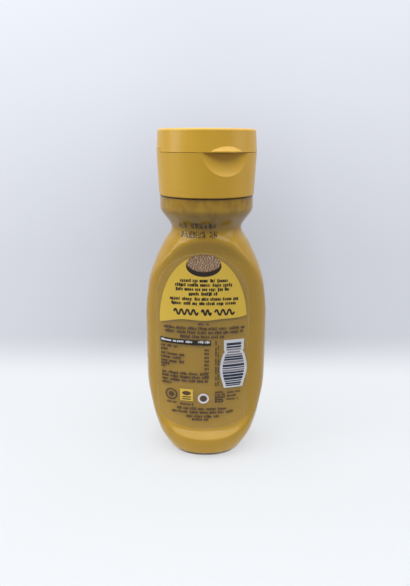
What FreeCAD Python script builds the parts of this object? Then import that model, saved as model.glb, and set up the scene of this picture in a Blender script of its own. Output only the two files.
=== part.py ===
import FreeCAD, Part
import math
import os

# Clear oval squeeze bottle of mustard with a yellow flip-top closure.
# Millimetres, +Z up, origin on the floor under the middle of the base.
# The printed information side faces -Y and the lid opens towards the back.

Vector = FreeCAD.Vector

doc = FreeCAD.newDocument("squeeze_bottle")

# ---------------------------------------------------------------- dimensions

SIZES = [
    # bottle body, heights from the floor
    ("seat_height", 145.0, "top of the shoulder bead, where the cap sits"),
    ("section_power", 2.2, "superellipse power of the body section"),
    ("contact_half_width", 20.0, "ring that stands on the floor"),
    ("contact_half_depth", 17.2, ""),
    ("edge_height", 3.0, "end of the tight bottom rounding"),
    ("edge_half_width", 21.8, ""),
    ("edge_half_depth", 20.4, ""),
    ("heel_height", 12.8, "crest of the foot below the label panel"),
    ("heel_half_width", 27.4, ""),
    ("heel_half_depth", 22.6, ""),
    ("calf_height", 26.0, ""),
    ("calf_half_width", 30.9, ""),
    ("hip_height", 46.0, ""),
    ("hip_half_width", 33.4, ""),
    ("chest_height", 80.0, ""),
    ("chest_half_width", 33.1, ""),
    ("belly_half_depth", 20.5, "fullest depth, which the panels cut back"),
    # bottle body, drops below the seat
    ("breast_drop", 46.2, ""),
    ("breast_half_width", 31.2, ""),
    ("shoulder_drop", 37.3, ""),
    ("shoulder_half_width", 28.6, ""),
    ("shoulder_half_depth", 23.4, ""),
    ("collar_drop", 24.1, ""),
    ("collar_half_width", 22.6, ""),
    ("collar_half_depth", 21.3, ""),
    ("waist_drop", 16.8, "narrowest place"),
    ("waist_half_width", 18.5, ""),
    ("waist_half_depth", 17.9, ""),
    ("bead_drop", 5.8, "fullest place of the round bead under the cap"),
    ("bead_inset", 0.1, "how much smaller than the skirt the bead is"),
    ("wall", 0.9, "wall of the bottle"),
    ("push_up", 2.0, "hollow under the base"),
    ("push_up_radius", 13.5, ""),
    # label panels, front and back
    ("panel_half_width", 34.4, "plan ellipse of the upright panel surface"),
    ("panel_half_depth", 17.8, ""),
    ("panel_reach", 33.2, "half width at which the arch ends"),
    ("panel_top_drop", 27.0, "top of the arch below the seat"),
    ("panel_spring_height", 80.0, "where the arch starts"),
    ("panel_bottom", 16.2, "lowest point of the panel"),
    ("panel_corner_height", 38.0, "where its lower curve starts"),
    ("panel_power", 2.3, "superellipse power of both curves"),
    ("brow_slope", 0.25, "rise of the recess wall above the panel"),
    ("sill_slope", 1.6, "rise of the recess wall below the panel"),
    ("brow_blend", 2.0, ""),
    ("sill_blend", 1.2, ""),
    ("crest_blend", 1.6, "softness of the crest round the recess"),
    # labels
    ("label_gap", 0.2, "between the panel and the film"),
    ("label_film", 0.12, "thickness of the film"),
    ("label_half_width", 24.5, ""),
    ("label_top_drop", 27.4, "below the seat"),
    ("label_arch", 25.6, "height of the arched top"),
    ("label_bottom", 18.2, ""),
    ("label_bowl", 9.0, "height of the curved bottom"),
    ("label_shift", 2.0, "the film sits this far off the middle"),
    # bottle neck, inside the cap
    ("shoulder_wall", 0.9, "flat of the shoulder inside the cap"),
    ("neck_radius", 17.0, ""),
    ("neck_wall", 1.8, ""),
    ("mouth_gap", 0.2, "between the mouth and the underside of the deck"),
    ("headspace", 3.0, "from the mouth down to the mustard"),
    # closure base
    ("skirt_gap", 0.15, "between the bead and the skirt"),
    ("skirt_height", 20.85, ""),
    ("cap_radius", 25.3, "at the parting line, the widest place"),
    ("skirt_draft", 0.95, "how much smaller the skirt is at its lower edge"),
    ("cap_wall", 1.7, ""),
    ("skirt_edge", 0.5, "rounding of the lower edge"),
    ("deck", 1.8, "thickness of the deck"),
    ("collar_gap", 0.3, "between the neck and the inner collar"),
    ("inner_collar_wall", 1.5, ""),
    ("inner_collar_length", 12.0, ""),
    ("spout_radius", 5.6, ""),
    ("spout_tip_radius", 3.6, ""),
    ("spout_height", 5.6, ""),
    ("orifice_radius", 1.9, ""),
    ("thumb_radius", 25.0, "roller that shapes the thumb recess"),
    ("thumb_depth", 2.9, "depth of the recess at the parting line"),
    ("thumb_half_width", 11.5, "half width of the recess at the parting line"),
    # closure lid
    ("parting_gap", 0.2, "between the base and the lid"),
    ("lid_height", 11.0, ""),
    ("lid_draft", 0.75, "how much smaller the lid is at its top"),
    ("lid_edge", 1.2, "rounding of the top edge"),
    ("lid_ceiling", 1.7, ""),
    ("lip_radius", 13.7, "plan arc of the thumb lip"),
    ("lip_reach", 1.35, "how far it stands out of the lid"),
    ("lip_edge", 0.5, "upright edge of the lip"),
    ("lip_height", 2.8, ""),
    ("lip_taper", 1.6, "how much the lip draws in towards its top"),
    # hinge
    ("rear_step", 1.7, "rise of the parting line over the back half"),
    ("step_angle", 85.6, "from the lip to the step, degrees"),
    ("step_gap", 0.25, ""),
    ("hinge_flat", 0.9, "depth of the flat at the hinge"),
    ("hinge_flat_height", 6.5, "height of the flat on each side of the hinge"),
    ("hinge_bead", 0.45, "radius of the bead that the lid turns on"),
    ("hinge_clearance", 0.06, "between the bead and the lid"),
    ("hinge_length", 12.0, ""),
    ("cap_turn", 22.5, "turn of the closure on the bottle, degrees"),
]

dims = doc.addObject("Spreadsheet::Sheet", "dims")
for row, (alias, value, note) in enumerate(SIZES, 1):
    dims.set("A%d" % row, alias)
    dims.set("B%d" % row, str(value))
    dims.setAlias("B%d" % row, alias)
    dims.set("C%d" % row, note)
doc.recompute()


def size(alias):
    return float(dims.get(alias))


# ------------------------------------------------------------------- helpers

def bind(item, **formulas):
    """Tie properties of an object to the sheet; a double underscore is a dot."""
    for name, formula in formulas.items():
        path = name.replace("__", ".")
        item.setExpression(path, formula)
    return item


def primitive(kind, name, **formulas):
    return bind(doc.addObject("Part::" + kind, name), **formulas)


def cut(name, base, tool):
    item = doc.addObject("Part::Cut", name)
    item.Base = base
    item.Tool = tool
    return item


def fuse(name, *shapes):
    item = doc.addObject("Part::MultiFuse", name)
    item.Shapes = list(shapes)
    item.Refine = True
    return item


def common(name, *shapes):
    item = doc.addObject("Part::MultiCommon", name)
    item.Shapes = list(shapes)
    return item


def feature(name, shape):
    item = doc.addObject("Part::Feature", name)
    item.Shape = shape
    return item


# -------------------------------------------------------- shape of the bottle

SECTION_POINTS = 72      # control points round one section
SECTION_STEP = 1.9       # distance between sections
DEGREE = 3               # of the skin, both ways


def smooth_line(z, stations):
    """Monotone cubic through (height, value) stations."""
    heights = [s[0] for s in stations]
    values = [s[1] for s in stations]
    last = len(stations) - 1
    chords = [(values[i + 1] - values[i]) / (heights[i + 1] - heights[i]) for i in range(last)]
    slopes = [chords[0]]
    for i in range(1, last):
        turning = chords[i - 1] * chords[i] <= 0
        mean = 0.0 if turning else 2 * chords[i - 1] * chords[i] / (chords[i - 1] + chords[i])
        slopes.append(mean)
    slopes.append(chords[-1])
    i = max(0, min(last - 1, sum(1 for h in heights[1:] if h <= z)))
    span = heights[i + 1] - heights[i]
    t = min(1.0, max(0.0, (z - heights[i]) / span))
    start, end = values[i], values[i + 1]
    return ((1 + 2 * t) * (1 - t) ** 2 * start + t * (1 - t) ** 2 * span * slopes[i]
            + t * t * (3 - 2 * t) * end + t * t * (t - 1) * span * slopes[i + 1])


def ramp(distance, blend):
    """0 below, rising with slope 1 above, rounded over +-blend."""
    if distance <= -blend:
        return 0.0
    if distance >= blend:
        return distance
    return (distance + blend) ** 2 / (4 * blend)


def soft_min(first, second, blend):
    overlap = max(blend - abs(first - second), 0.0) / blend
    return min(first, second) - overlap * overlap * blend / 4


def superellipse_radius(angle, half_width, half_depth, power):
    c = abs(math.cos(angle)) / half_width
    s = abs(math.sin(angle)) / half_depth
    return (c ** power + s ** power) ** (-1 / power)


def bead_radius():
    return size("cap_radius") - size("skirt_draft") - size("bead_inset")


def width_stations():
    seat = size("seat_height")
    return [
        (0.0, size("contact_half_width")),
        (size("edge_height"), size("edge_half_width")),
        (size("heel_height"), size("heel_half_width")),
        (size("calf_height"), size("calf_half_width")),
        (size("hip_height"), size("hip_half_width")),
        (size("chest_height"), size("chest_half_width")),
        (seat - size("breast_drop"), size("breast_half_width")),
        (seat - size("shoulder_drop"), size("shoulder_half_width")),
        (seat - size("collar_drop"), size("collar_half_width")),
        (seat - size("waist_drop"), size("waist_half_width")),
        (seat - size("bead_drop"), bead_radius()),
        (seat, bead_radius() - size("bead_inset")),
    ]


def depth_stations():
    seat = size("seat_height")
    return [
        (0.0, size("contact_half_depth")),
        (size("edge_height"), size("edge_half_depth")),
        (size("heel_height"), size("heel_half_depth")),
        (size("hip_height"), size("belly_half_depth")),
        (size("chest_height"), size("belly_half_depth")),
        (seat - size("shoulder_drop"), size("shoulder_half_depth")),
        (seat - size("collar_drop"), size("collar_half_depth")),
        (seat - size("waist_drop"), size("waist_half_depth")),
        (seat - size("bead_drop"), bead_radius()),
        (seat, bead_radius() - size("bead_inset")),
    ]


def roundness(z):
    """Section power: a true circle from the waist up, fuller below it."""
    top = size("seat_height") - size("waist_drop")
    start = size("seat_height") - size("shoulder_drop")
    t = min(1.0, max(0.0, (z - start) / (top - start)))
    return size("section_power") + (2.0 - size("section_power")) * t


def panel_edge(x, middle, end):
    """Height of the panel's edge at x: middle at x = 0, end at its reach."""
    power = size("panel_power")
    share = min(1.0, abs(x) / size("panel_reach"))
    return end + (middle - end) * (1 - share ** power) ** (1 / power)


def outer_radius(angle, z):
    body = superellipse_radius(angle, smooth_line(z, width_stations()),
                               smooth_line(z, depth_stations()), roundness(z))
    if z >= size("seat_height") - size("waist_drop"):
        return body
    panel = superellipse_radius(angle, size("panel_half_width"), size("panel_half_depth"), 2.0)
    x = panel * math.cos(angle)
    top = panel_edge(x, size("seat_height") - size("panel_top_drop"), size("panel_spring_height"))
    bottom = panel_edge(x, size("panel_bottom"), size("panel_corner_height"))
    recess = (panel + size("brow_slope") * ramp(z - top, size("brow_blend"))
              + size("sill_slope") * ramp(bottom - z, size("sill_blend")))
    return soft_min(body, recess, size("crest_blend"))


def section(z, inset):
    points = []
    for i in range(SECTION_POINTS):
        angle = 2 * math.pi * i / SECTION_POINTS
        radius = outer_radius(angle, z) - inset
        points.append(Vector(radius * math.cos(angle), radius * math.sin(angle), z))
    return points


def body_solid(bottom, top, inset):
    """Solid of the body between two heights, its skin this far inside the outside.

    The skin is a B-spline that closes on itself round the body. The sections are
    its rows of control points, so its two end rows are flat rings.
    """
    count = max(8, round((top - bottom) / SECTION_STEP))
    rows = [section(bottom + (top - bottom) * i / count, inset) for i in range(count + 1)]
    inner_knots = count - DEGREE
    up_multiplicities = [DEGREE + 1] + [1] * inner_knots + [DEGREE + 1]
    round_knots = SECTION_POINTS + 1
    skin = Part.BSplineSurface()
    skin.buildFromPolesMultsKnots(
        rows, up_multiplicities, [1] * round_knots,
        [float(i) for i in range(inner_knots + 2)], [float(i) for i in range(round_knots)],
        False, True, DEGREE, DEGREE)
    first, last = skin.bounds()[0:2]
    ends = [Part.Face(Part.Wire(skin.uIso(u).toShape())) for u in (first, last)]
    shell = Part.Shell([skin.toShape()] + ends)
    shell.sewShape()
    return Part.makeSolid(shell)


NECK_HEIGHT = "(dims.skirt_gap + dims.skirt_height - dims.deck - dims.mouth_gap)"


def make_bottle_and_mustard():
    floor = size("push_up") + size("wall")
    ceiling = size("seat_height") - size("shoulder_wall")
    outside = feature("body_outside", body_solid(0.0, size("seat_height"), 0.0))
    inside = feature("body_inside", body_solid(floor, ceiling, size("wall")))
    neck = primitive("Cylinder", "neck", Radius="dims.neck_radius",
                     Height=NECK_HEIGHT + " + dims.shoulder_wall",
                     Placement__Base__z="dims.seat_height - dims.shoulder_wall")
    bore = primitive("Cylinder", "neck_bore", Radius="dims.neck_radius - dims.neck_wall",
                     Height=NECK_HEIGHT + " + 2 * dims.shoulder_wall",
                     Placement__Base__z="dims.seat_height - 1.5 * dims.shoulder_wall")
    ball = "(dims.push_up_radius ^ 2 + dims.push_up ^ 2) / (2 * dims.push_up)"
    dome = primitive("Sphere", "base_dome", Radius=ball,
                     Placement__Base__z="dims.push_up - " + ball)
    hollow = fuse("bottle_hollow", inside, bore, dome)
    bottle = cut("bottle", fuse("bottle_solid", outside, neck), hollow)
    fill = primitive("Cylinder", "neck_fill", Radius="dims.neck_radius - dims.neck_wall",
                     Height=NECK_HEIGHT + " + 1.5 * dims.shoulder_wall - dims.headspace",
                     Placement__Base__z="dims.seat_height - 1.5 * dims.shoulder_wall")
    filling = feature("filling_body", body_solid(floor, ceiling, size("wall")))
    return bottle, fuse("mustard", filling, fill)


# --------------------------------------------------------------------- labels

def label_outline():
    """Arched top, straight sides and a curved bottom, in the XZ plane."""
    half = size("label_half_width")
    spring = size("seat_height") - size("label_top_drop") - size("label_arch")
    bowl_top = size("label_bottom") + size("label_bowl")
    up, across = Vector(0, 0, 1), Vector(1, 0, 0)

    def half_ellipse(centre, rise):
        side, tip = centre + across * half, centre + up * rise
        if abs(rise) > half:
            ellipse, start = Part.Ellipse(tip, side, centre), -math.pi / 2
        else:
            ellipse, start = Part.Ellipse(side, tip, centre), 0.0
        return Part.ArcOfEllipse(ellipse, start, start + math.pi).toShape()

    top = half_ellipse(Vector(0, 0, spring), size("label_arch"))
    bottom = half_ellipse(Vector(0, 0, bowl_top), -size("label_bowl"))
    left = Part.makeLine(Vector(-half, 0, bowl_top), Vector(-half, 0, spring))
    right = Part.makeLine(Vector(half, 0, bowl_top), Vector(half, 0, spring))
    return Part.Face(Part.Wire(Part.__sortEdges__([top, left, bottom, right])))


def panel_shell():
    """Thin upright ring on the panel surface, which the outline cuts to shape."""
    height = size("seat_height")

    def oval(offset):
        ellipse = Part.Ellipse(Vector(0, 0, 0), size("panel_half_width") + offset,
                               size("panel_half_depth") + offset)
        return Part.Face(Part.Wire(ellipse.toShape())).extrude(Vector(0, 0, height))

    inner = size("label_gap")
    return oval(inner + size("label_film")).cut(oval(inner))


def make_label(name, side):
    """side is -1 for the front and 1 for the back."""
    outline = label_outline()
    outline.translate(Vector(size("label_shift") * side, 0, 0))
    block = outline.extrude(Vector(0, side * 2 * size("panel_half_depth"), 0))
    return feature(name, panel_shell().common(block))


# -------------------------------------------------------------------- closure
# Built with the lip towards -Y and turned onto the bottle at the end.

PARTING = "(dims.seat_height + dims.skirt_gap + dims.skirt_height)"
HINGE_Y = "(dims.cap_radius - dims.hinge_flat)"
HINGE_Z = "(%s + dims.rear_step + dims.parting_gap / 2)" % PARTING
STEP_Y = "(-dims.cap_radius * cos(dims.step_angle * 1deg))"
FULL = "(2 * dims.cap_radius)"


def lying_cylinder(name, radius, length, y, z):
    """Cylinder along X with its middle at (0, y, z)."""
    item = primitive("Cylinder", name, Radius=radius, Height=length)
    item.Placement = FreeCAD.Placement(Vector(), FreeCAD.Rotation(Vector(0, 1, 0), 90))
    return bind(item, Placement__Base__x="-(%s) / 2" % length, Placement__Base__y=y,
                Placement__Base__z=z)


def block(name, x, y, z, length, width, height):
    return primitive("Box", name, Length=length, Width=width, Height=height,
                     Placement__Base__x=x, Placement__Base__y=y, Placement__Base__z=z)


def hinge_flat_tool(name, z, height):
    """Block behind the hinge flat."""
    return block(name, "-" + FULL, HINGE_Y, z, "2 * " + FULL, FULL, height)


def round_edge(name, base, lowest_or_highest, radius):
    """Round the circle at the bottom (min) or the top (max) of a cone."""
    item = doc.addObject("Part::Fillet", name)
    item.Base = base
    doc.recompute()
    circles = [i for i, edge in enumerate(base.Shape.Edges, 1) if edge.isClosed()]
    chosen = lowest_or_highest(circles, key=lambda i: base.Shape.Edges[i - 1].CenterOfMass.z)
    item.Edges = [(chosen, size(radius), size(radius))]
    return item


def make_cap_base():
    bottom = "(dims.seat_height + dims.skirt_gap)"
    skirt = primitive("Cone", "skirt", Radius1="dims.cap_radius - dims.skirt_draft",
                      Radius2="dims.cap_radius", Height="dims.skirt_height",
                      Placement__Base__z=bottom)
    skirt = round_edge("skirt_rounded", skirt, min, "skirt_edge")
    rim = primitive("Cylinder", "rear_rim", Radius="dims.cap_radius",
                    Height="dims.rear_step", Placement__Base__z=PARTING)
    rim_well = primitive("Cylinder", "rear_rim_well",
                         Radius="dims.cap_radius - dims.cap_wall",
                         Height="2 * dims.rear_step", Placement__Base__z=PARTING)
    front = block("front_of_step", "-" + FULL, STEP_Y + " + dims.step_gap - " + FULL,
                  PARTING, "2 * " + FULL, FULL, "2 * dims.rear_step")
    rim = cut("rear_rim_ring", rim, fuse("rear_rim_cuts", rim_well, front))
    # the thumb recess is rolled into the skirt, and the wall follows it inside
    roller_y = "-(dims.cap_radius - dims.thumb_depth + dims.thumb_radius)"
    recess = lying_cylinder("thumb_roller", "dims.thumb_radius", "2 * dims.thumb_half_width",
                            roller_y, PARTING)
    dish = primitive("Cylinder", "thumb_dish", Radius="dims.thumb_half_width", Height=FULL)
    dish.Placement = FreeCAD.Placement(Vector(), FreeCAD.Rotation(Vector(1, 0, 0), 90))
    bind(dish, Placement__Base__z=PARTING)
    thumb = common("thumb_recess", recess, dish)
    well = primitive("Cone", "skirt_well",
                     Radius1="dims.cap_radius - dims.skirt_draft - dims.cap_wall",
                     Radius2="dims.cap_radius - dims.cap_wall",
                     Height="dims.skirt_height - dims.deck", Placement__Base__z=bottom)
    backing = lying_cylinder("thumb_backing", "dims.thumb_radius + dims.cap_wall", FULL,
                             roller_y, PARTING)
    well = cut("skirt_hollow", well, backing)
    flat = hinge_flat_tool("base_flat", HINGE_Z + " - dims.hinge_flat_height",
                           "2 * dims.hinge_flat_height")
    shell = cut("skirt_shell", fuse("skirt_blank", skirt, rim), fuse("skirt_cuts", well, thumb, flat))
    deck_under = "(%s - dims.deck)" % PARTING
    collar_inner = "(dims.neck_radius + dims.collar_gap)"
    collar = primitive("Cylinder", "inner_collar",
                       Radius=collar_inner + " + dims.inner_collar_wall",
                       Height="dims.inner_collar_length + dims.deck / 2",
                       Placement__Base__z=deck_under + " - dims.inner_collar_length")
    spout = primitive("Cone", "spout", Radius1="dims.spout_radius",
                      Radius2="dims.spout_tip_radius",
                      Height="dims.spout_height + dims.deck / 2",
                      Placement__Base__z=PARTING + " - dims.deck / 2")
    bead = lying_cylinder("hinge_bead", "dims.hinge_bead", "dims.hinge_length", HINGE_Y, HINGE_Z)
    neck_room = primitive("Cylinder", "neck_room", Radius=collar_inner,
                          Height="dims.skirt_height - dims.deck", Placement__Base__z=bottom)
    orifice = primitive("Cylinder", "orifice", Radius="dims.orifice_radius",
                        Height="2 * (dims.spout_height + dims.deck)",
                        Placement__Base__z=deck_under + " - dims.deck")
    solid = fuse("cap_base_solid", shell, collar, spout, bead)
    return cut("cap_base", solid, fuse("cap_base_bores", neck_room, orifice))


def make_cap_lid():
    under = "(%s + dims.parting_gap)" % PARTING
    cone = primitive("Cone", "lid_cone", Radius1="dims.cap_radius",
                     Radius2="dims.cap_radius - dims.lid_draft",
                     Height="dims.lid_height - dims.parting_gap", Placement__Base__z=under)
    lip_y = "-(dims.cap_radius + dims.lip_reach - dims.lip_radius)"
    edge = primitive("Cylinder", "lip_edge", Radius="dims.lip_radius", Height="dims.lip_edge",
                     Placement__Base__y=lip_y, Placement__Base__z=under)
    slope = primitive("Cone", "lip_slope", Radius1="dims.lip_radius",
                      Radius2="dims.lip_radius - dims.lip_taper",
                      Height="dims.lip_height - dims.lip_edge", Placement__Base__y=lip_y,
                      Placement__Base__z=under + " + dims.lip_edge")
    rounded = round_edge("lid_rounded", cone, max, "lid_edge")
    well = primitive("Cone", "lid_well", Radius1="dims.cap_radius - dims.cap_wall",
                     Radius2="dims.cap_radius - dims.lid_draft - dims.cap_wall",
                     Height="dims.lid_height - dims.parting_gap - dims.lid_ceiling",
                     Placement__Base__z=under)
    flat = hinge_flat_tool("lid_flat", HINGE_Z, "dims.hinge_flat_height")
    back = block("behind_step", "-" + FULL, STEP_Y, under, "2 * " + FULL, FULL,
                 "dims.rear_step")
    groove = lying_cylinder("hinge_groove", "dims.hinge_bead + dims.hinge_clearance", FULL,
                            HINGE_Y, HINGE_Z)
    solid = fuse("lid_solid", rounded, edge, slope)
    return cut("cap_lid", solid, fuse("lid_cuts", well, flat, back, groove))


# ------------------------------------------------------- build, check, export

bottle, mustard = make_bottle_and_mustard()
label_info = make_label("label_info", -1)
label_face = make_label("label_face", 1)
cap_base = make_cap_base()
cap_lid = make_cap_lid()
doc.recompute()
for piece in (cap_base, cap_lid):
    bind(piece, Placement__Rotation__Angle="dims.cap_turn * 1deg")
doc.recompute()

parts = [bottle, mustard, label_info, label_face, cap_base, cap_lid]
for item in doc.Objects:
    if "Invalid" in item.State or "Error" in item.State:
        raise RuntimeError("%s did not build: %s" % (item.Name, item.State))
for item in parts:
    if item.Shape.isNull() or not item.Shape.isValid():
        raise RuntimeError("%s has no valid shape" % item.Name)
    if len(item.Shape.Solids) != 1:
        raise RuntimeError("%s has %d solids" % (item.Name, len(item.Shape.Solids)))

os.makedirs("parts", exist_ok=True)
for item in parts:
    item.Label = item.Name
    item.Shape.exportStep("parts/%s.step" % item.Label)
    print(item.Label, round(item.Shape.Volume / 1000, 2), "ml", item.Shape.optimalBoundingBox())
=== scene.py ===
"""Looks of the mustard squeeze bottle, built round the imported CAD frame."""

import math

import bpy
import numpy as np
from mathutils import Matrix, Vector


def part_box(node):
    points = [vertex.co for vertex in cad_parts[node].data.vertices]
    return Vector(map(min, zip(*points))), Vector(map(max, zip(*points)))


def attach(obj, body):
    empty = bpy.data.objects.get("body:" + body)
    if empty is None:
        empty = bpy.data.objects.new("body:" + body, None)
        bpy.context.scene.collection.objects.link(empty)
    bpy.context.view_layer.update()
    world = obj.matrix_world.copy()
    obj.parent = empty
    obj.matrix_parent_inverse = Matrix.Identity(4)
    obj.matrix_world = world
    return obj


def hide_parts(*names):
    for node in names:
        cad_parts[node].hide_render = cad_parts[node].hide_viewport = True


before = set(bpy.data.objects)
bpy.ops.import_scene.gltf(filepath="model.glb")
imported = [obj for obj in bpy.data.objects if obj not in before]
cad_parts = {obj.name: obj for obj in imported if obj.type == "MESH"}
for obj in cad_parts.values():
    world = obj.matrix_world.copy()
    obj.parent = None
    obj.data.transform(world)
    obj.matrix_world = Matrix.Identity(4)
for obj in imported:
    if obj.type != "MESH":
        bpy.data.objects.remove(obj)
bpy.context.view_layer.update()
MM = 0.001

# ------------------------------------------------------------ the body's shape
# The same sizes, in millimetres, as the sheet in part.py.

MUSTARD_LOW, MUSTARD_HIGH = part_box("mustard")
LABEL_LOW, LABEL_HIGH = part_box("label_info")
SKIRT_GAP = 0.15
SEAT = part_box("cap_base")[0].z / MM - SKIRT_GAP  # the shoulder's flat under the skirt
NECK_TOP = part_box("bottle")[1].z / MM
FILL_TOP = MUSTARD_HIGH.z / MM
FLOOR = MUSTARD_LOW.z / MM
WALL, SHOULDER_WALL = 0.9, 0.9
SKIN = 0.1  # the meshes lie this little inside the sizes, to stay in the CAD's box
NECK_RADIUS, BORE_RADIUS = 17.0, 15.2
PUSH_UP, PUSH_UP_RADIUS = 2.0, 13.5

SHOULDER, COLLAR, WAIST, BEAD_LINE = SEAT - 37.3, SEAT - 24.1, SEAT - 16.8, SEAT - 5.8
BEAD = 24.25
WIDTH = [(0, 20.0), (3, 21.8), (12.8, 27.4), (26, 30.9), (46, 33.4), (80, 33.1),
         (SEAT - 46.2, 31.2), (SHOULDER, 28.6), (COLLAR, 22.6), (WAIST, 18.5),
         (BEAD_LINE, BEAD), (SEAT, BEAD - 0.1)]
DEPTH = [(0, 17.2), (3, 20.4), (12.8, 22.6), (46, 20.5), (80, 20.5), (SHOULDER, 23.4),
         (COLLAR, 21.3), (WAIST, 17.9), (BEAD_LINE, BEAD), (SEAT, BEAD - 0.1)]
BELLY_POWER, ROUND_POWER = 2.2, 2.0

PANEL_A, PANEL_B, PANEL_REACH, PANEL_POWER = 34.4, 17.8, 33.2, 2.3
PANEL_TOP, PANEL_SPRING, PANEL_BOTTOM, PANEL_CORNER = SEAT - 27.0, 80.0, 16.2, 38.0
BROW_SLOPE, BROW_BLEND = 0.25, 2.0
SILL_SLOPE, SILL_BLEND = 1.6, 1.2
CREST_BLEND = 1.6


def smooth_line(z, stations):
    """Monotone smooth curve through the stations."""
    heights = np.array([s[0] for s in stations], float)
    values = np.array([s[1] for s in stations], float)
    chords = np.diff(values) / np.diff(heights)
    slopes = np.zeros(len(heights))
    slopes[0], slopes[-1] = chords[0], chords[-1]
    for i in range(1, len(heights) - 1):
        if chords[i - 1] * chords[i] > 0:
            slopes[i] = 2 * chords[i - 1] * chords[i] / (chords[i - 1] + chords[i])
    i = np.clip(np.searchsorted(heights, z, side="right") - 1, 0, len(heights) - 2)
    span = heights[i + 1] - heights[i]
    t = np.clip((z - heights[i]) / span, 0, 1)
    return ((1 + 2 * t) * (1 - t) ** 2 * values[i] + t * (1 - t) ** 2 * span * slopes[i]
            + t * t * (3 - 2 * t) * values[i + 1] + t * t * (t - 1) * span * slopes[i + 1])


def oval_radius(angle, a, b, power):
    """Radius of a superellipse at the angle."""
    return ((np.abs(np.cos(angle)) / a) ** power
            + (np.abs(np.sin(angle)) / b) ** power) ** (-1 / power)


def ramp(distance, blend):
    """Rises with the distance from 0 on, with a rounded start."""
    return np.where(distance <= -blend, 0.0,
                    np.where(distance >= blend, distance, (distance + blend) ** 2 / (4 * blend)))


def panel_edge(x, middle, end):
    """Height of the panel's upper or lower edge at x."""
    share = np.minimum(1.0, np.abs(x) / PANEL_REACH)
    return end + (middle - end) * (1 - share ** PANEL_POWER) ** (1 / PANEL_POWER)


def outer_radius(angle, z):
    """The body's radius: its own section, or the sunken panel where that lies further in."""
    angle, z = np.broadcast_arrays(np.asarray(angle, float), np.asarray(z, float))
    t = np.clip((z - SHOULDER) / (WAIST - SHOULDER), 0, 1)
    power = BELLY_POWER + (ROUND_POWER - BELLY_POWER) * t
    body = oval_radius(angle, smooth_line(z, WIDTH), smooth_line(z, DEPTH), power)
    panel = oval_radius(angle, PANEL_A, PANEL_B, 2.0)
    x = panel * np.cos(angle)
    top = panel_edge(x, PANEL_TOP, PANEL_SPRING)
    bottom = panel_edge(x, PANEL_BOTTOM, PANEL_CORNER)
    recess = (panel + BROW_SLOPE * ramp(z - top, BROW_BLEND)
              + SILL_SLOPE * ramp(bottom - z, SILL_BLEND))
    overlap = np.maximum(CREST_BLEND - np.abs(body - recess), 0) / CREST_BLEND
    blended = np.minimum(body, recess) - overlap ** 2 * CREST_BLEND / 4
    return np.where(z >= WAIST, body, blended) - SKIN


# ------------------------------------------------------------------ mesh tools

def make_object(name, vertices, faces, material, body=None, smooth=True, sharp=None):
    """Mesh object from millimetres. It rides on the body; edges over sharp degrees stay crisp."""
    mesh = bpy.data.meshes.new(name)
    mesh.from_pydata([tuple(v) for v in np.asarray(vertices, float) * MM], [], faces)
    mesh.validate()
    mesh.materials.append(material)
    mesh.polygons.foreach_set("use_smooth", [smooth] * len(mesh.polygons))
    if sharp is not None:
        mesh.set_sharp_from_angle(angle=math.radians(sharp))
    item = bpy.data.objects.new(name, mesh)
    bpy.context.scene.collection.objects.link(item)
    if body:
        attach(item, body)
    return item


def rings_mesh(rings, low_centre, high_centre):
    """Closed mesh of rings of equal count, capped by a fan at each end."""
    count = len(rings[0])
    vertices = np.vstack([[low_centre]] + list(rings) + [[high_centre]])
    faces = []
    for i in range(count):
        faces.append((0, 1 + (i + 1) % count, 1 + i))
    for r in range(len(rings) - 1):
        a, b = 1 + r * count, 1 + (r + 1) * count
        for i in range(count):
            j = (i + 1) % count
            faces.append((a + i, a + j, b + j, b + i))
    last, tip = 1 + (len(rings) - 1) * count, len(vertices) - 1
    for i in range(count):
        faces.append((last + i, last + (i + 1) % count, tip))
    return vertices, faces


ROUND = 352
ANGLES = np.arange(ROUND) * 2 * math.pi / ROUND


def circle(radius, z):
    return np.column_stack([radius * np.cos(ANGLES), radius * np.sin(ANGLES), np.full(ROUND, z)])


def body_ring(z, inset, height=None):
    """The body's section at z, this far inside it, laid at the height."""
    radius = outer_radius(ANGLES, z) - inset
    return np.column_stack([radius * np.cos(ANGLES), radius * np.sin(ANGLES),
                            np.full(ROUND, z if height is None else height)])


def steps(start, end, step):
    """Even steps of about this length from start on, without the end."""
    count = max(1, round(abs(end - start) / step))
    return list(start + (end - start) * np.arange(count) / count)


# ------------------------------------------------------------------- materials

def new_material(name):
    material = bpy.data.materials.new(name)
    material.use_nodes = True
    material.node_tree.nodes.clear()
    return material, material.node_tree


def node(tree, kind, settings=None, inputs=None):
    item = tree.nodes.new(kind)
    for key, value in (settings or {}).items():
        setattr(item, key, value)
    for key, value in (inputs or {}).items():
        item.inputs[key].default_value = value
    return item


def rgb(colour):
    return (colour[0], colour[1], colour[2], 1.0)


def principled(name, colour, roughness, ior, specular=0.5):
    material, tree = new_material(name)
    shader = node(tree, "ShaderNodeBsdfPrincipled", inputs={
        "Base Color": rgb(colour), "Roughness": roughness, "IOR": ior,
        "Specular IOR Level": specular})
    output = node(tree, "ShaderNodeOutputMaterial")
    tree.links.new(shader.outputs["BSDF"], output.inputs["Surface"])
    return material, tree, shader, output


def ramp_node(tree, stops):
    item = node(tree, "ShaderNodeValToRGB")
    elements = item.color_ramp.elements
    while len(elements) < len(stops):
        elements.new(0.5)
    for element, (position, colour) in zip(elements, stops):
        element.position = position
        element.color = rgb(colour)
    return item


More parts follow.
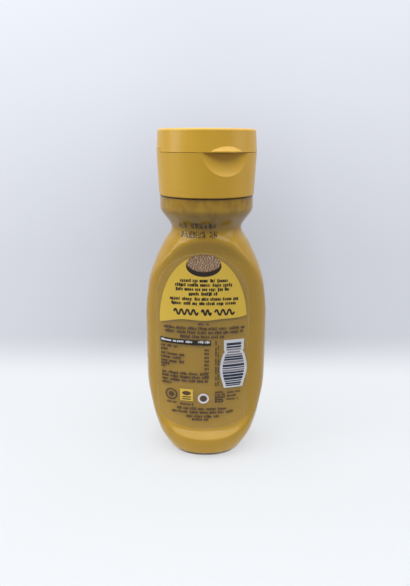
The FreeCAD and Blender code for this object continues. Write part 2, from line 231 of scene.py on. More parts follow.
def cap_material(name):
    """Satin moulded plastic: an even yellow with a very fine moulded grain."""
    material, tree, shader, _ = principled(name, (0.84, 0.475, 0.040), 0.34, 1.5)
    place = node(tree, "ShaderNodeTexCoord")
    blotch = node(tree, "ShaderNodeTexNoise", inputs={"Scale": 60.0, "Detail": 3.0})
    tree.links.new(place.outputs["Object"], blotch.inputs["Vector"])
    tint = ramp_node(tree, [(0.3, (0.83, 0.474, 0.038)), (0.7, (0.86, 0.502, 0.044))])
    tree.links.new(blotch.outputs["Fac"], tint.inputs["Fac"])
    tree.links.new(tint.outputs["Color"], shader.inputs["Base Color"])
    rough = node(tree, "ShaderNodeMapRange", inputs={"To Min": 0.29, "To Max": 0.37})
    tree.links.new(blotch.outputs["Fac"], rough.inputs["Value"])
    tree.links.new(rough.outputs["Result"], shader.inputs["Roughness"])
    grain = node(tree, "ShaderNodeTexNoise", inputs={"Scale": 2600.0, "Detail": 2.0})
    tree.links.new(place.outputs["Object"], grain.inputs["Vector"])
    bump = node(tree, "ShaderNodeBump", inputs={"Strength": 0.12, "Distance": 0.00004})
    tree.links.new(grain.outputs["Fac"], bump.inputs["Height"])
    tree.links.new(bump.outputs["Normal"], shader.inputs["Normal"])
    return material


def mustard_material():
    """Smooth paste, with brown streaks and spots near the neck that grow denser towards the top."""
    material, tree, shader, _ = principled("mustard_paste", (0.575, 0.332, 0.023), 0.5, 1.4,
                                           specular=0.08)
    place = node(tree, "ShaderNodeTexCoord")
    split = node(tree, "ShaderNodeSeparateXYZ")
    tree.links.new(place.outputs["Object"], split.inputs["Vector"])
    soft = node(tree, "ShaderNodeTexNoise", inputs={"Scale": 45.0, "Detail": 4.0,
                                                    "Roughness": 0.55})
    tree.links.new(place.outputs["Object"], soft.inputs["Vector"])
    paste = ramp_node(tree, [(0.28, (0.55, 0.314, 0.020)), (0.5, (0.575, 0.332, 0.023)),
                             (0.74, (0.60, 0.352, 0.028))])
    tree.links.new(soft.outputs["Fac"], paste.inputs["Fac"])
    stretch = node(tree, "ShaderNodeMapping", inputs={"Scale": (1.0, 1.0, 0.42)})
    tree.links.new(place.outputs["Object"], stretch.inputs["Vector"])
    spots = node(tree, "ShaderNodeTexNoise", inputs={"Scale": 260.0, "Detail": 4.0,
                                                     "Roughness": 0.62})
    tree.links.new(stretch.outputs["Vector"], spots.inputs["Vector"])
    spread = node(tree, "ShaderNodeMapRange", inputs={
        "From Min": 0.42, "From Max": 0.68, "To Min": 0.0, "To Max": 1.0})
    tree.links.new(spots.outputs["Fac"], spread.inputs["Value"])
    height = node(tree, "ShaderNodeMapRange", inputs={
        "From Min": 0.128, "From Max": 0.145, "To Min": 0.0, "To Max": 0.62})
    height.interpolation_type = "SMOOTHSTEP"
    tree.links.new(split.outputs["Z"], height.inputs["Value"])
    amount = node(tree, "ShaderNodeMath", {"operation": "MULTIPLY"})
    tree.links.new(spread.outputs["Result"], amount.inputs[0])
    tree.links.new(height.outputs["Result"], amount.inputs[1])
    mixed = node(tree, "ShaderNodeMix", {"data_type": "RGBA"})
    tree.links.new(amount.outputs["Value"], mixed.inputs["Factor"])
    tree.links.new(paste.outputs["Color"], mixed.inputs["A"])
    mixed.inputs["B"].default_value = rgb((0.30, 0.135, 0.014))
    tree.links.new(mixed.outputs["Result"], shader.inputs["Base Color"])
    return material


def clear_material(name, tint, roughness, ior):
    """Clear plastic. Lamps shine straight through it onto what it holds."""
    material, tree, shader, output = principled(name, tint, roughness, ior)
    shader.inputs["Transmission Weight"].default_value = 1.0
    ray = node(tree, "ShaderNodeLightPath")
    either = node(tree, "ShaderNodeMath", {"operation": "MAXIMUM"})
    tree.links.new(ray.outputs["Is Shadow Ray"], either.inputs[0])
    tree.links.new(ray.outputs["Is Diffuse Ray"], either.inputs[1])
    through = node(tree, "ShaderNodeBsdfTransparent", inputs={"Color": rgb((0.97, 0.97, 0.965))})
    mix = node(tree, "ShaderNodeMixShader")
    tree.links.new(either.outputs["Value"], mix.inputs["Fac"])
    tree.links.new(shader.outputs["BSDF"], mix.inputs[1])
    tree.links.new(through.outputs["BSDF"], mix.inputs[2])
    tree.links.new(mix.outputs["Shader"], output.inputs["Surface"])
    return material


def film_material(name, colour, alpha):
    """Thin clear film: almost nothing shows but its sheen."""
    material, _, shader, _ = principled(name, colour, 0.12, 1.45)
    shader.inputs["Alpha"].default_value = alpha
    return material


def ink(name, colour, specular=0.5):
    return principled("ink_" + name, colour, 0.32, 1.5, specular=specular)[0]


PLASTIC = clear_material("clear_plastic", (0.985, 0.985, 0.975), 0.03, 1.40)
FILM = film_material("clear_film", (0.78, 0.72, 0.52), 0.03)
# the cut edge's strip: the edge is real, its paler, denser tint is painted sheen
FILM_EDGE_SHEEN = film_material("clear_film_edge_sheen", (0.86, 0.80, 0.62), 0.12)
PASTE = mustard_material()
CAP = cap_material("yellow_cap_plastic")
INKS = {
    "yellow": ink("yellow", (0.99, 0.67, 0.085)),
    "brown": ink("brown", (0.105, 0.048, 0.013)),
    "black": ink("black", (0.022, 0.013, 0.008), 0.3),
    "seed": ink("seed", (0.60, 0.40, 0.24)),
    "seed_dark": ink("seed_dark", (0.24, 0.125, 0.065)),
    "seed_pale": ink("seed_pale", (0.74, 0.56, 0.38)),
    "white": ink("white", (0.92, 0.93, 0.95)),
    "navy": ink("navy", (0.030, 0.038, 0.085), 0.3),
    "lilac": ink("lilac", (0.36, 0.34, 0.40)),
}

# ------------------------------------------------------------ bottle and filling

ROWS = (steps(0.6, 16, 0.55) + steps(16, 42, 0.9) + steps(42, 100, 1.6) + steps(100, 112, 0.9)
        + steps(112, 131, 0.38) + steps(131, SEAT, 0.5))


def make_bottle():
    """One closed skin: up the outside, over the mouth and down the inside."""
    ball = (PUSH_UP_RADIUS ** 2 + PUSH_UP ** 2) / (2 * PUSH_UP)
    rings = []
    for radius in steps(1.2, PUSH_UP_RADIUS, 1.2) + [PUSH_UP_RADIUS]:
        rings.append(circle(radius, PUSH_UP - ball + math.sqrt(ball ** 2 - radius ** 2)))
    rings += [body_ring(0.0, 1.2, 0.0), body_ring(0.0, 0.5, 0.05), body_ring(0.2, 0.12, 0.2)]
    rings += [body_ring(z, 0.0) for z in ROWS]
    rings += [body_ring(SEAT, 0.0), body_ring(SEAT, 0.35, SEAT)]
    rings += [circle(NECK_RADIUS + 0.4, SEAT), circle(NECK_RADIUS, SEAT + 0.4)]
    rings += [circle(NECK_RADIUS, NECK_TOP - 0.3), circle(NECK_RADIUS - 0.3, NECK_TOP),
              circle(BORE_RADIUS + 0.3, NECK_TOP), circle(BORE_RADIUS, NECK_TOP - 0.3),
              circle(BORE_RADIUS, SEAT - SHOULDER_WALL)]
    rings += [body_ring(SEAT - SHOULDER_WALL, WALL)]
    inner = [z for z in ROWS[::-1][::3] if FLOOR + 1 < z < SEAT - SHOULDER_WALL - 0.5]
    rings += [body_ring(z, WALL) for z in inner]
    rings += [body_ring(FLOOR, WALL), circle(6.0, FLOOR)]
    vertices, faces = rings_mesh(rings, (0, 0, PUSH_UP), (0, 0, FLOOR))
    item = make_object("bottle_shell", vertices, faces, PLASTIC, "bottle_body", sharp=50)
    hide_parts("bottle")


def make_mustard():
    """The filling reaches a little into the wall, so that no air shows between them."""
    into, into_shoulder = 0.12, 0.3
    ceiling = SEAT - SHOULDER_WALL + into_shoulder
    rings = [circle(8.0, FLOOR - into)]
    rings += [body_ring(FLOOR, WALL - into + 0.8, FLOOR - into)]
    rows = [z for z in ROWS if FLOOR + 0.8 < z < SEAT - SHOULDER_WALL - 0.3]
    rings += [body_ring(z, WALL - into) for z in rows + [ceiling]]
    rings += [circle(BORE_RADIUS + into, ceiling),
              circle(BORE_RADIUS + into, FILL_TOP - 0.3), circle(BORE_RADIUS - 0.2, FILL_TOP)]
    vertices, faces = rings_mesh(rings, (0, 0, FLOOR - into), (0, 0, FILL_TOP))
    item = make_object("mustard_fill", vertices, faces, PASTE, "bottle_body", sharp=50)
    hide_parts("mustard")


make_bottle()
make_mustard()

# ---------------------------------------------------------------------- labels

LABEL_HALF = (LABEL_HIGH.x - LABEL_LOW.x) / 2 / MM
LABEL_MIDDLE = (LABEL_HIGH.x + LABEL_LOW.x) / 2 / MM
LABEL_TOP, LABEL_FOOT = LABEL_HIGH.z / MM, LABEL_LOW.z / MM
LABEL_ARCH, LABEL_BOWL = 25.6, 9.0
FILM_IN, FILM_OUT = 0.05, 0.17  # the film's two faces, off the panel
EDGE_WIDE, EDGE_THICK = 0.28, 0.03
INK_FOOT = FILM_OUT - 0.01  # ink starts just inside the film
INK_STEP = 0.02  # and each level of it stands this much prouder


def ink_top(level):
    return FILM_OUT + INK_STEP * (1 + level)


def on_panel(x, z, offset, side):
    """Points on the label panel. Side -1 is the front; the back is turned half round."""
    x = np.asarray(x, float)
    a, b = PANEL_A - SKIN + offset, PANEL_B - SKIN + offset
    y = b * np.sqrt(np.maximum(0.0, 1 - (x / a) ** 2))
    return np.column_stack([-side * x, side * y, np.asarray(z, float)])


def slab(x, low, high, inner, outer, side):
    """Closed slab between the curves low and high over the columns x."""
    n = len(x)
    points = np.vstack([on_panel(x, z, offset, side)
                        for offset in (outer, inner) for z in (low, high)])
    faces = []
    for i in range(n - 1):
        j = i + 1
        faces += [(i, j, n + j, n + i), (2 * n + j, 2 * n + i, 3 * n + i, 3 * n + j),
                  (n + i, n + j, 3 * n + j, 3 * n + i), (j, i, 2 * n + i, 2 * n + j)]
    faces += [(0, n, 3 * n, 2 * n), (n - 1, 3 * n - 1, 4 * n - 1, 2 * n - 1)]
    return points, faces


def ribbon_faces(n, closed):
    """Faces of a four-sided ribbon whose corner lines, of n points each, follow on."""
    faces = []
    for i in range(n if closed else n - 1):
        j = (i + 1) % n
        for k in range(4):
            m = (k + 1) % 4
            faces.append((k * n + i, k * n + j, m * n + j, m * n + i))
    if not closed:
        faces += [(0, 3 * n, 2 * n, n), (n - 1, 2 * n - 1, 3 * n - 1, 4 * n - 1)]
    return faces


class Sheet:
    """Thin closed pieces of print that follow the panel, one mesh for each ink."""

    def __init__(self, side):
        self.side = side
        self.parts = {}

    def add(self, colour, points, faces):
        group = self.parts.setdefault(colour, [[], [], 0])
        group[0].append(points)
        group[1] += [tuple(i + group[2] for i in f) for f in faces]
        group[2] += len(points)

    def strip(self, colour, x, low, high, level):
        self.add(colour, *slab(x, low, high, INK_FOOT, ink_top(level), self.side))

    def patch(self, colour, x, rows, halves, level):
        """Closed slab about x, as wide at each row as its half says."""
        columns = 13
        xs = (x + halves[:, None] * np.linspace(-1, 1, columns)).ravel()
        zs = np.repeat(rows, columns)
        n = len(xs)
        points = np.vstack([on_panel(xs, zs, offset, self.side)
                            for offset in (ink_top(level), INK_FOOT)])
        faces = []
        for r in range(len(rows) - 1):
            for c in range(columns - 1):
                a = r * columns + c
                b = a + columns
                faces += [(a, a + 1, b + 1, b), (n + b, n + b + 1, n + a + 1, n + a)]
        last = n - columns
        rim = (list(range(columns)) + [r * columns + columns - 1 for r in range(1, len(rows))]
               + list(range(n - 2, last - 1, -1))
               + [r * columns for r in range(len(rows) - 2, 0, -1)])
        for a, b in zip(rim, rim[1:] + rim[:1]):
            faces.append((b, a, n + a, n + b))
        self.add(colour, points, faces)

    def bar(self, colour, x0, x1, z0, z1, level=1, slope=0.0):
        x = np.linspace(x0, x1, max(2, int(abs(x1 - x0) / 1.2) + 2))
        tilt = slope * (x - x0)
        self.strip(colour, x, z0 + tilt, z1 + tilt, level)

    def oval(self, colour, x, z, a, b, level=1, columns=14):
        t = np.linspace(0, math.pi, columns)
        half = np.maximum(b * np.sin(t), 0.01)
        self.strip(colour, x - a * np.cos(t), z - half, z + half, level)

    def ring(self, colour, x, z, radius, thick):
        n, top, inside = 36, ink_top(1), radius - thick
        t = np.arange(n) * 2 * math.pi / n
        corners = ((radius, top), (inside, top), (inside, INK_FOOT), (radius, INK_FOOT))
        points = np.vstack([on_panel(x + r * np.cos(t), z + r * np.sin(t), offset, self.side)
                            for r, offset in corners])
        self.add(colour, points, ribbon_faces(n, closed=True))

    def stroke(self, colour, xs, zs, width):
        """Brushed line, thinner where it runs level."""
        dx, dz = np.gradient(xs), np.gradient(zs)
        long = np.hypot(dx, dz)
        half = width * (0.72 + 0.28 * np.abs(dz) / long) / 2
        nx, nz = -dz / long * half, dx / long * half
        top = ink_top(1)
        corners = ((-1, top), (1, top), (1, INK_FOOT), (-1, INK_FOOT))
        points = np.vstack([on_panel(xs + hand * nx, zs + hand * nz, offset, self.side)
                            for hand, offset in corners])
        self.add(colour, points, ribbon_faces(len(xs), closed=False))

    def words(self, colour, x0, x1, z, height, rng, level=1, slope=0.0, pitch=0.95):
        """Plain blocks where a line of print stands. They form no letters."""
        x = x0
        while x < x1 - 0.4:
            end = min(x + rng.uniform(2.2, 6.0), x1)
            while x < end - 0.25:
                wide = min(pitch * rng.uniform(0.62, 0.9), end - x)
                tall = height * (1.0 if rng.random() < 0.7 else 1.28)
                drop = -0.22 * height if rng.random() < 0.14 else 0.0
                base = z + slope * (x - x0)
                self.bar(colour, x, x + 1.1 * wide, base + drop, base + tall, level)
                x += pitch
            x += pitch * 0.75

    def tower(self, colour, x, z0, z1, width, rng):
        """The same, running up the label."""
        z = z0
        while z < z1 - 0.4:
            end = min(z + rng.uniform(2.0, 5.0), z1)
            while z < end - 0.2:
                tall = min(rng.uniform(0.5, 0.72), end - z)
                wide = width * (1.0 if rng.random() < 0.7 else 0.75)
                self.bar(colour, x, x + wide, z, z + tall)
                z += 0.9
            z += 0.8

    def finish(self, label):
        for colour, (points, faces, _) in self.parts.items():
            item = make_object(f"{label}_{colour}", np.vstack(points), faces, INKS[colour],
                               "bottle_body", smooth=False)


def film_outline():
    """Columns of the film with its lower and upper edge: an arch over a shallow bowl."""
    x = -LABEL_HALF * np.cos(np.linspace(0, math.pi, 61))
    share = np.clip(np.abs(x) / LABEL_HALF, 0, 1)
    rise = np.sqrt(np.maximum(0.0, 1 - share ** 2))
    return (x + LABEL_MIDDLE, LABEL_FOOT + LABEL_BOWL - LABEL_BOWL * rise,
            LABEL_TOP - LABEL_ARCH + LABEL_ARCH * rise)


def make_film(name, cad, side):
    x, low, high = film_outline()
    points, faces = slab(x, low, high, FILM_IN, FILM_OUT, side)
    item = make_object(name, points, faces, FILM, "bottle_body", sharp=40)
    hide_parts(cad)
    make_film_edge(name + "_edge", x, low, high, side)


def make_film_edge(name, x, low, high, side):
    """The film's cut edge, a fine line all round; its paler, denser tint is painted sheen."""
    xs, zs = np.concatenate([x, x[::-1]]), np.concatenate([low, high[::-1]])
    apart = np.hypot(np.diff(xs, append=xs[0]), np.diff(zs, append=zs[0])) > 1e-6
    xs, zs = xs[apart], zs[apart]
    dx = np.roll(xs, -1) - np.roll(xs, 1)
    dz = np.roll(zs, -1) - np.roll(zs, 1)
    long = np.hypot(dx, dz)
    nx, nz = -dz / long * EDGE_WIDE, dx / long * EDGE_WIDE
    corners = ((0, EDGE_THICK), (1, EDGE_THICK), (1, 0), (0, 0))
    points = np.vstack([on_panel(xs + inward * nx, zs + inward * nz, FILM_OUT + thick, side)
                        for inward, thick in corners])
    item = make_object(name, points, ribbon_faces(len(xs), closed=True), FILM_EDGE_SHEEN,
                       "bottle_body", smooth=False)


def yellow_field(sheet):
    """Arched yellow field with a gently waved lower edge."""
    middle, half, spring, arch = LABEL_MIDDLE + 0.4, 23.0, 80.6, 35.9
    t = np.linspace(0, math.pi, 56)
    x = middle - half * np.cos(t)
    high = spring + arch * np.sin(t)
    share = (x - middle) / half
    low = np.minimum(82.0 + 2.2 * share ** 3 - 0.35 * np.cos(7 * share), high - 0.02)
    sheet.strip("yellow", x, low, high, 0)


def seed_bowl(sheet, rng, x, z):
    """A plain oval of pale seeds in a dark dish, spread evenly by the golden angle."""
    sheet.oval("black", x, z - 1.4, 9.0, 5.6, 1, 26)
    sheet.oval("seed_dark", x, z, 8.6, 4.5, 2, 26)
    count, golden = 120, math.pi * (3 - math.sqrt(5))
    for i in range(count):
        turn = i * golden
        reach = math.sqrt((i + 0.5) / count)
        px = x + 8.2 * reach * math.cos(turn) + rng.uniform(-0.15, 0.15)
        pz = z + 4.15 * reach * math.sin(turn) + rng.uniform(-0.12, 0.12)
        tint = "seed_pale" if rng.random() < 0.3 else "seed"
        sheet.oval(tint, px, pz, rng.uniform(0.34, 0.5), rng.uniform(0.27, 0.4), 3, 6)


def wave(sheet, x0, x1, z, unit):
    """A plain brushed wave where a large written word stands."""
    turns = max(1, round((x1 - x0) / (1.25 * unit)))
    share = np.linspace(0, 1, 20 * turns + 1)
    zs = z + unit * (0.8 + 0.62 * np.sin(2 * math.pi * turns * share))
    sheet.stroke("black", x0 + (x1 - x0) * share, zs, unit * 0.42)


def swash(sheet, x0, x1, z, unit):
    """Three lengths of the wave, as long as the three words."""
    wide = x1 - x0
    for start, end in ((0.0, 0.40), (0.46, 0.62), (0.68, 1.0)):
        wave(sheet, x0 + start * wide, x0 + end * wide, z, unit)


def stripe_patch(sheet, rng, x, low, high):
    """White jar-shaped patch with plain stripes."""
    foot, swell, neck, rim, border = 5.2, 2.2, 4.9, 5.4, 1.45

    def half(z):
        share = (z - low) / (high - low)
        belly = foot + swell * np.sin(math.pi * np.clip(share / 0.8, 0, 1)) ** 1.3
        return np.where(share > 0.78, rim, np.where(share > 0.74, neck, belly))

    rows = np.linspace(low, high, 44)
    sheet.patch("white", x, rows, half(rows), 1)
    at = low + 1.0
    while at < high - 2.4:
        tall = float(rng.choice([0.7, 1.05, 1.45]))
        wide = float(half(at + tall / 2)) - border
        sheet.bar("navy" if rng.random() < 0.72 else "lilac", x - wide, x + wide, at, at + tall, 2)
        at += tall + float(rng.choice([0.30, 0.38, 0.46]))


def front_field(sheet, rng):
    """The yellow field with its dish, two blocks of text and the wave."""
    yellow_field(sheet)
    seed_bowl(sheet, rng, -1.3, 112.3)
    for x0, x1, z in ((-13.4, 10.9, 102.4), (-16.0, 13.5, 100.1), (-15.7, 13.1, 97.8),
                      (-9.0, 5.9, 95.4), (-18.8, 16.5, 92.6), (-18.1, 15.3, 90.2)):
        sheet.words("black", x0, x1, z, 1.4, rng)
    swash(sheet, -16.8, 14.6, 84.3, 2.4)


def front_text(sheet, rng):
    """Small lines below the field, and a list with its figures under a dark bar."""
    sheet.words("brown", -4.4, 1.5, 79.2, 0.9, rng)
    for x0, x1, z in ((-22.5, 20.4, 76.5), (-21.8, 19.6, 74.2), (-13.7, 10.5, 71.8)):
        sheet.words("brown", x0, x1, z, 1.3, rng)
    sheet.bar("black", -24.5, 2.6, 68.2, 71.0, 1, -0.018)
    for x0, x1 in ((-24.0, -15.9), (-15.3, -7.4), (-4.2, 2.0)):
        sheet.words("white", x0, x1, 69.15, 0.95, rng, 2, -0.018)
    for x1, z in ((-15.4, 65.7), (-20.4, 63.8), (-11.4, 61.2), (-13.5, 59.1), (-11.8, 56.9),
                  (-19.4, 55.2), (-22.2, 53.7)):
        sheet.words("brown", -24.4, x1, z, 1.2, rng)
    for z in (64.6, 62.4, 60.2, 58.0, 55.8, 53.6, 51.4, 49.2):
        sheet.words("brown", -0.8, 1.6, z, 0.9, rng)
    for x1, z in ((1.4, 50.3), (1.4, 48.2), (1.4, 46.1), (-17.9, 44.0)):
        sheet.words("brown", -24.0, x1, z, 1.2, rng)
    sheet.tower("brown", 4.9, 44.0, 70.4, 0.95, rng)
    sheet.tower("brown", 6.3, 44.0, 68.0, 0.85, rng)


def front_signs(sheet, rng):
    """The row of plain signs: ring, square, disc and two short blocks of lines."""
    sheet.ring("brown", -18.9, 37.9, 3.4, 0.75)
    sheet.oval("brown", -18.9, 37.9, 1.5, 1.5, 1, 14)
    sheet.words("brown", -21.5, -16.2, 32.5, 0.9, rng)
    sheet.bar("yellow", -14.1, -7.0, 34.7, 41.8, 1)
    sheet.oval("brown", -10.55, 39.3, 2.4, 1.3, 2)
    sheet.bar("brown", -13.0, -8.1, 36.7, 37.4, 2)
    sheet.bar("brown", -13.0, -8.1, 35.4, 36.1, 2)
    sheet.words("brown", -14.1, -7.0, 32.0, 1.0, rng)
    sheet.oval("white", -1.3, 36.4, 3.05, 3.05, 1, 22)
    sheet.oval("brown", -1.3, 36.4, 2.0, 1.9, 2, 16)
    for z in (39.6, 38.1, 36.6, 35.1, 33.8):
        sheet.words("brown", 5.0, 10.4, z, 0.95, rng)
    for z in (39.3, 37.2, 35.1):
        sheet.words("brown", 11.6, 19.2 - 0.3 * (40 - z), z, 0.85, rng)


def make_front():
    rng = np.random.default_rng(11)
    sheet = Sheet(-1)
    front_field(sheet, rng)
    front_text(sheet, rng)
    stripe_patch(sheet, rng, 14.9, 42.6, 70.6)
    front_signs(sheet, rng)
    for x0, x1, z in ((-15.9, 11.8, 29.3), (-18.8, 15.2, 27.1), (-10.9, 7.4, 24.6),
                      (-7.6, 2.4, 22.7)):
        sheet.words("brown", x0, x1, z, 1.25, rng)
    sheet.finish("print_front")


def make_back():
    """The hidden side: the same field and dish, with larger plain blocks below."""
    rng = np.random.default_rng(23)
    sheet = Sheet(1)
    yellow_field(sheet)
    seed_bowl(sheet, rng, -1.3, 111.0)
    swash(sheet, -17.4, 15.5, 95.0, 3.6)
    sheet.words("brown", -11.0, 8.0, 90.6, 1.6, rng, pitch=1.5)
    sheet.words("brown", -14.5, 11.5, 86.4, 1.5, rng, pitch=1.5)
    sheet.bar("black", -22.6, 19.0, 71.6, 77.6, 1)
    sheet.words("white", -19.6, 16.2, 73.5, 2.1, rng, 2, pitch=2.0)
    sheet.oval("yellow", -1.8, 54.0, 12.5, 11.0, 1, 30)
    for k in range(5):
        x = -7.4 + 2.8 * k
        sheet.oval("brown", x, 51.0 + 0.9 * (k % 2), 1.1, 3.8 + 0.8 * (k % 3), 2, 14)
    for x0, x1, z in ((-15.5, 12.0, 36.4), (-17.5, 14.0, 33.2), (-10.0, 6.5, 27.8)):
        sheet.words("brown", x0, x1, z, 1.4, rng, pitch=1.3)
    sheet.finish("print_back")


make_film("film_front", "label_info", -1)
make_film("film_back", "label_face", 1)
make_front()
make_back()

# -------------------------------------------------------------------- lot code


def front_place(x, z):
    """Angle and radius of the point on the body's front that lies x off the middle."""
    first_guess = 21.0
    angle = -math.acos(x / first_guess)
    for _ in range(3):
        radius = float(outer_radius(angle, z))
        angle = -math.acos(x / radius)
    return angle, radius


def ink_dot(x, z, start):
    """Six-sided dot, a little proud of the skin. Its points are numbered from start."""
    wide, tall, proud, sunk = 0.24, 0.27, 0.035, 0.01
    angle, radius = front_place(x, z)
    points = []
    for offset in (proud, -sunk):
        for k in range(6):
            a = angle + wide * math.cos(k * math.pi / 3) / radius
            h = z + tall * math.sin(k * math.pi / 3)
            r = float(outer_radius(a, h)) + offset
            points.append((r * math.cos(a), r * math.sin(a), h))
    faces = [tuple(start + k for k in range(6)), tuple(start + 11 - k for k in range(6))]
    for k in range(6):
        m = (k + 1) % 6
        faces.append((start + k, start + 6 + k, start + 6 + m, start + m))
    return points, faces


def make_lot_code():
    """Two lines of ink-jet dots on the shoulder, in blocks. The dots form no letters."""
    across, down, block, gap = 0.42, 0.52, 2.15, 1.6
    rng = np.random.default_rng(5)
    vertices, faces = [], []
    for x0, x1, high in ((-13.4, 6.3, 132.6), (-12.8, 6.3, 128.2)):
        x = x0
        while x < x1 - 1.4:
            if rng.random() < 0.1:
                x += gap
                continue
            for row in range(6):
                for column in range(4):
                    if rng.random() < 0.4:
                        continue
                    dot, rim = ink_dot(x + column * across, high - row * down, len(vertices))
                    vertices += dot
                    faces += rim
            x += block
    item = make_object("lot_code_dots", vertices, faces, INKS["black"], "bottle_body", smooth=False)


make_lot_code()

# ------------------------------------------------------------------------- cap

for cap_node in ("cap_base", "cap_lid"):
    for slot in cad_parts[cap_node].material_slots:
        slot.material = CAP

# ----------------------------------------------------------------------- stage

# How dark the shadow painted round the bottle on the backdrop is, from the bottle outward.
SHADE = ((0.0, 0.30), (0.27, 0.19), (0.43, 0.105), (0.70, 0.045), (1.0, 0.0))


def math_node(tree, operation, a, b=None):
    item = node(tree, "ShaderNodeMath", {"operation": operation})
    for k, value in enumerate((a, b)):
        if value is None:
            continue
        if isinstance(value, (int, float)):
            item.inputs[k].default_value = value
        else:
            tree.links.new(value, item.inputs[k])
    return item.outputs["Value"]


def range_node(tree, value, low, high, to_low=0.0, to_high=1.0, smooth=False):
    item = node(tree, "ShaderNodeMapRange", inputs={
        "From Min": low, "From Max": high, "To Min": to_low, "To Max": to_high})
    if smooth:
        item.interpolation_type = "SMOOTHSTEP"
    tree.links.new(value, item.inputs["Value"])
    return item.outputs["Result"]


def sees_background(tree):
    """1 for rays that show the background: the camera's own, and those in gloss and glass."""
    ray = node(tree, "ShaderNodeLightPath")
    direct = math_node(tree, "MAXIMUM", ray.outputs["Is Camera Ray"], ray.outputs["Is Glossy Ray"])
    return math_node(tree, "MAXIMUM", direct, ray.outputs["Is Transmission Ray"])


def seen_floor(tree):
    """What the camera sees of the floor: paper under real light and shadow, a little lifted."""
    floor = node(tree, "ShaderNodeBsdfDiffuse", inputs={"Color": rgb((0.33, 0.34, 0.346))})
    lift = node(tree, "ShaderNodeEmission", inputs={"Color": rgb((0.955, 0.985, 1.03)),
                                                    "Strength": 0.50})
    lit = node(tree, "ShaderNodeAddShader")
    tree.links.new(floor.outputs["BSDF"], lit.inputs[0])
    tree.links.new(lift.outputs["Emission"], lit.inputs[1])
    return lit.outputs["Shader"]


def seen_wall(tree, x, z):
    """What it sees of the backdrop: grey, painted lighter higher up, and a painted shadow round the
    bottle.
    """
    # painted light: the backdrop gets lighter higher up
    high = range_node(tree, z, 0.05, 0.33, 0.725, 0.91)
    # painted shadow of the bottle: darkest near its middle line, fading outward and upward
    reach = math_node(tree, "ABSOLUTE", math_node(tree, "SUBTRACT", x, 0.006))
    shade = ramp_node(tree, [(at, (value,) * 3) for at, value in SHADE])
    tree.links.new(range_node(tree, reach, 0.02, 0.27), shade.inputs["Fac"])
    low = range_node(tree, z, 0.05, 0.26, 1.0, 0.12, smooth=True)
    dark = math_node(tree, "MULTIPLY", shade.outputs["Color"], low)
    level = math_node(tree, "MULTIPLY", high, math_node(tree, "SUBTRACT", 1.0, dark))
    # painted shade: the backdrop a little darker towards the right
    level = math_node(tree, "MULTIPLY", level, range_node(tree, x, -0.26, 0.26, 1.0, 0.93))
    wall = node(tree, "ShaderNodeEmission", inputs={"Color": rgb((0.97, 1.0, 1.092))})
    tree.links.new(level, wall.inputs["Strength"])
    return wall.outputs["Emission"]


def thrown_light(tree, x, y):
    """What the paper throws back on the object: pale close to it, dark further off."""
    flat = node(tree, "ShaderNodeCombineXYZ")
    tree.links.new(x, flat.inputs["X"])
    tree.links.new(y, flat.inputs["Y"])
    far = node(tree, "ShaderNodeVectorMath", {"operation": "LENGTH"})
    tree.links.new(flat.outputs["Vector"], far.inputs[0])
    tint = ramp_node(tree, [(0.0, (0.80, 0.81, 0.82)), (1.0, (0.10, 0.102, 0.104))])
    tree.links.new(range_node(tree, far.outputs["Value"], 0.035, 0.10), tint.inputs["Fac"])
    bounce = node(tree, "ShaderNodeBsdfDiffuse")
    tree.links.new(tint.outputs["Color"], bounce.inputs["Color"])
    return bounce.outputs["BSDF"]


def mix_shaders(tree, share, first, second):
    mix = node(tree, "ShaderNodeMixShader")
    for k, value in enumerate((share, first, second)):
        tree.links.new(value, mix.inputs[k])
    return mix.outputs["Shader"]


def stage_material():
    """Pale paper: a floor that takes the bottle's shadow and a soft grey backdrop with painted
    light and shade.
    """
    material, tree = new_material("stage_paper")
    place = node(tree, "ShaderNodeNewGeometry")
    split = node(tree, "ShaderNodeSeparateXYZ")
    tree.links.new(place.outputs["Position"], split.inputs["Vector"])
    x, y, z = (split.outputs[k] for k in "XYZ")
    rear = range_node(tree, y, 0.078, 0.165, smooth=True)
    seen = mix_shaders(tree, rear, seen_floor(tree), seen_wall(tree, x, z))
    paper = mix_shaders(tree, sees_background(tree), thrown_light(tree, x, y), seen)
    output = node(tree, "ShaderNodeOutputMaterial")
    tree.links.new(paper, output.inputs["Surface"])
    return material


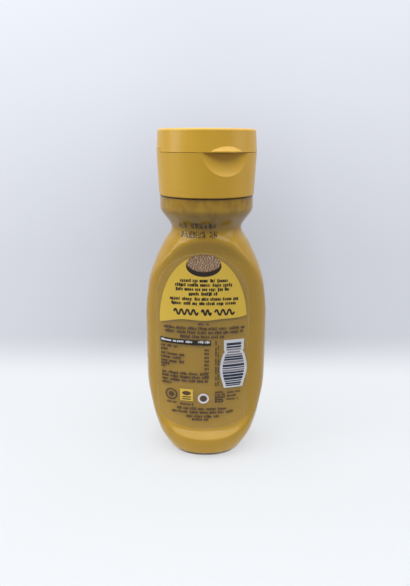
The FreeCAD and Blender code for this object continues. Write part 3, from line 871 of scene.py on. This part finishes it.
def make_stage():
    """Sheet of paper that sweeps up behind the bottle."""
    start, radius, half, top = 0.11, 0.30, 1.3, 0.7
    line = [(-half, 0.0), (start, 0.0)]
    line += [(start + radius * math.sin(t), radius - radius * math.cos(t))
             for t in np.linspace(0, math.pi / 2, 40)[1:]]
    line += [(start + radius, top)]
    vertices = [(x / MM, y / MM, z / MM) for y, z in line for x in (-half, half)]
    faces = [(2 * i, 2 * i + 1, 2 * i + 3, 2 * i + 2) for i in range(len(line) - 1)]
    make_object("paper_sweep", vertices, faces, stage_material())


make_stage()


def lamp(name, place, target, width, height, power):
    data = bpy.data.lights.new(name, "AREA")
    data.shape = "RECTANGLE"
    data.size, data.size_y = width, height
    data.energy = power
    item = bpy.data.objects.new(name, data)
    bpy.context.scene.collection.objects.link(item)
    item.location = place
    item.rotation_euler = (Vector(target) - Vector(place)).to_track_quat("-Z", "Y").to_euler()


MIDDLE = (0.0, 0.0, 0.09)
lamp("ceiling", (-0.10, -0.10, 1.15), (-0.10, -0.10, 0.0), 2.4, 2.2, 34.0)
lamp("left_fill", (-1.0, -0.25, 0.50), MIDDLE, 0.6, 0.8, 3.5)
lamp("right_fill", (1.0, -0.20, 0.45), MIDDLE, 0.6, 0.8, 1.8)


def background(tree, colour, strength):
    item = node(tree, "ShaderNodeBackground", inputs={"Color": rgb(colour), "Strength": strength})
    return item.outputs["Background"]


def make_world():
    """Dim light from all round. What shows of it, past the paper, is pale."""
    world = bpy.data.worlds.new("studio")
    world.use_nodes = True
    bpy.context.scene.world = world
    tree = world.node_tree
    tree.nodes.clear()
    dim = background(tree, (0.80, 0.83, 0.88), 0.16)
    pale = background(tree, (0.60, 0.62, 0.66), 1.0)
    output = node(tree, "ShaderNodeOutputWorld")
    tree.links.new(mix_shaders(tree, sees_background(tree), dim, pale), output.inputs["Surface"])


make_world()

# ---------------------------------------------------------------------- camera


def make_camera():
    """The photo's camera, as solved from the cap's round edges and the bottle's foot."""
    data = bpy.data.cameras.new("photo_camera")
    data.sensor_width = 36.0
    data.lens = 30.7167
    data.clip_start = 0.01
    camera = bpy.data.objects.new("photo_camera", data)
    bpy.context.scene.collection.objects.link(camera)
    camera.location = (-0.00061, -0.2627, 0.17134)
    look_down, roll = math.radians(16.93), math.radians(0.21)
    camera.rotation_euler = (Matrix.Rotation(math.pi / 2 - look_down, 3, "X")
                             @ Matrix.Rotation(roll, 3, "Z")).to_euler()
    bpy.context.scene.camera = camera


make_camera()
bpy.context.scene.view_settings.view_transform = "Standard"
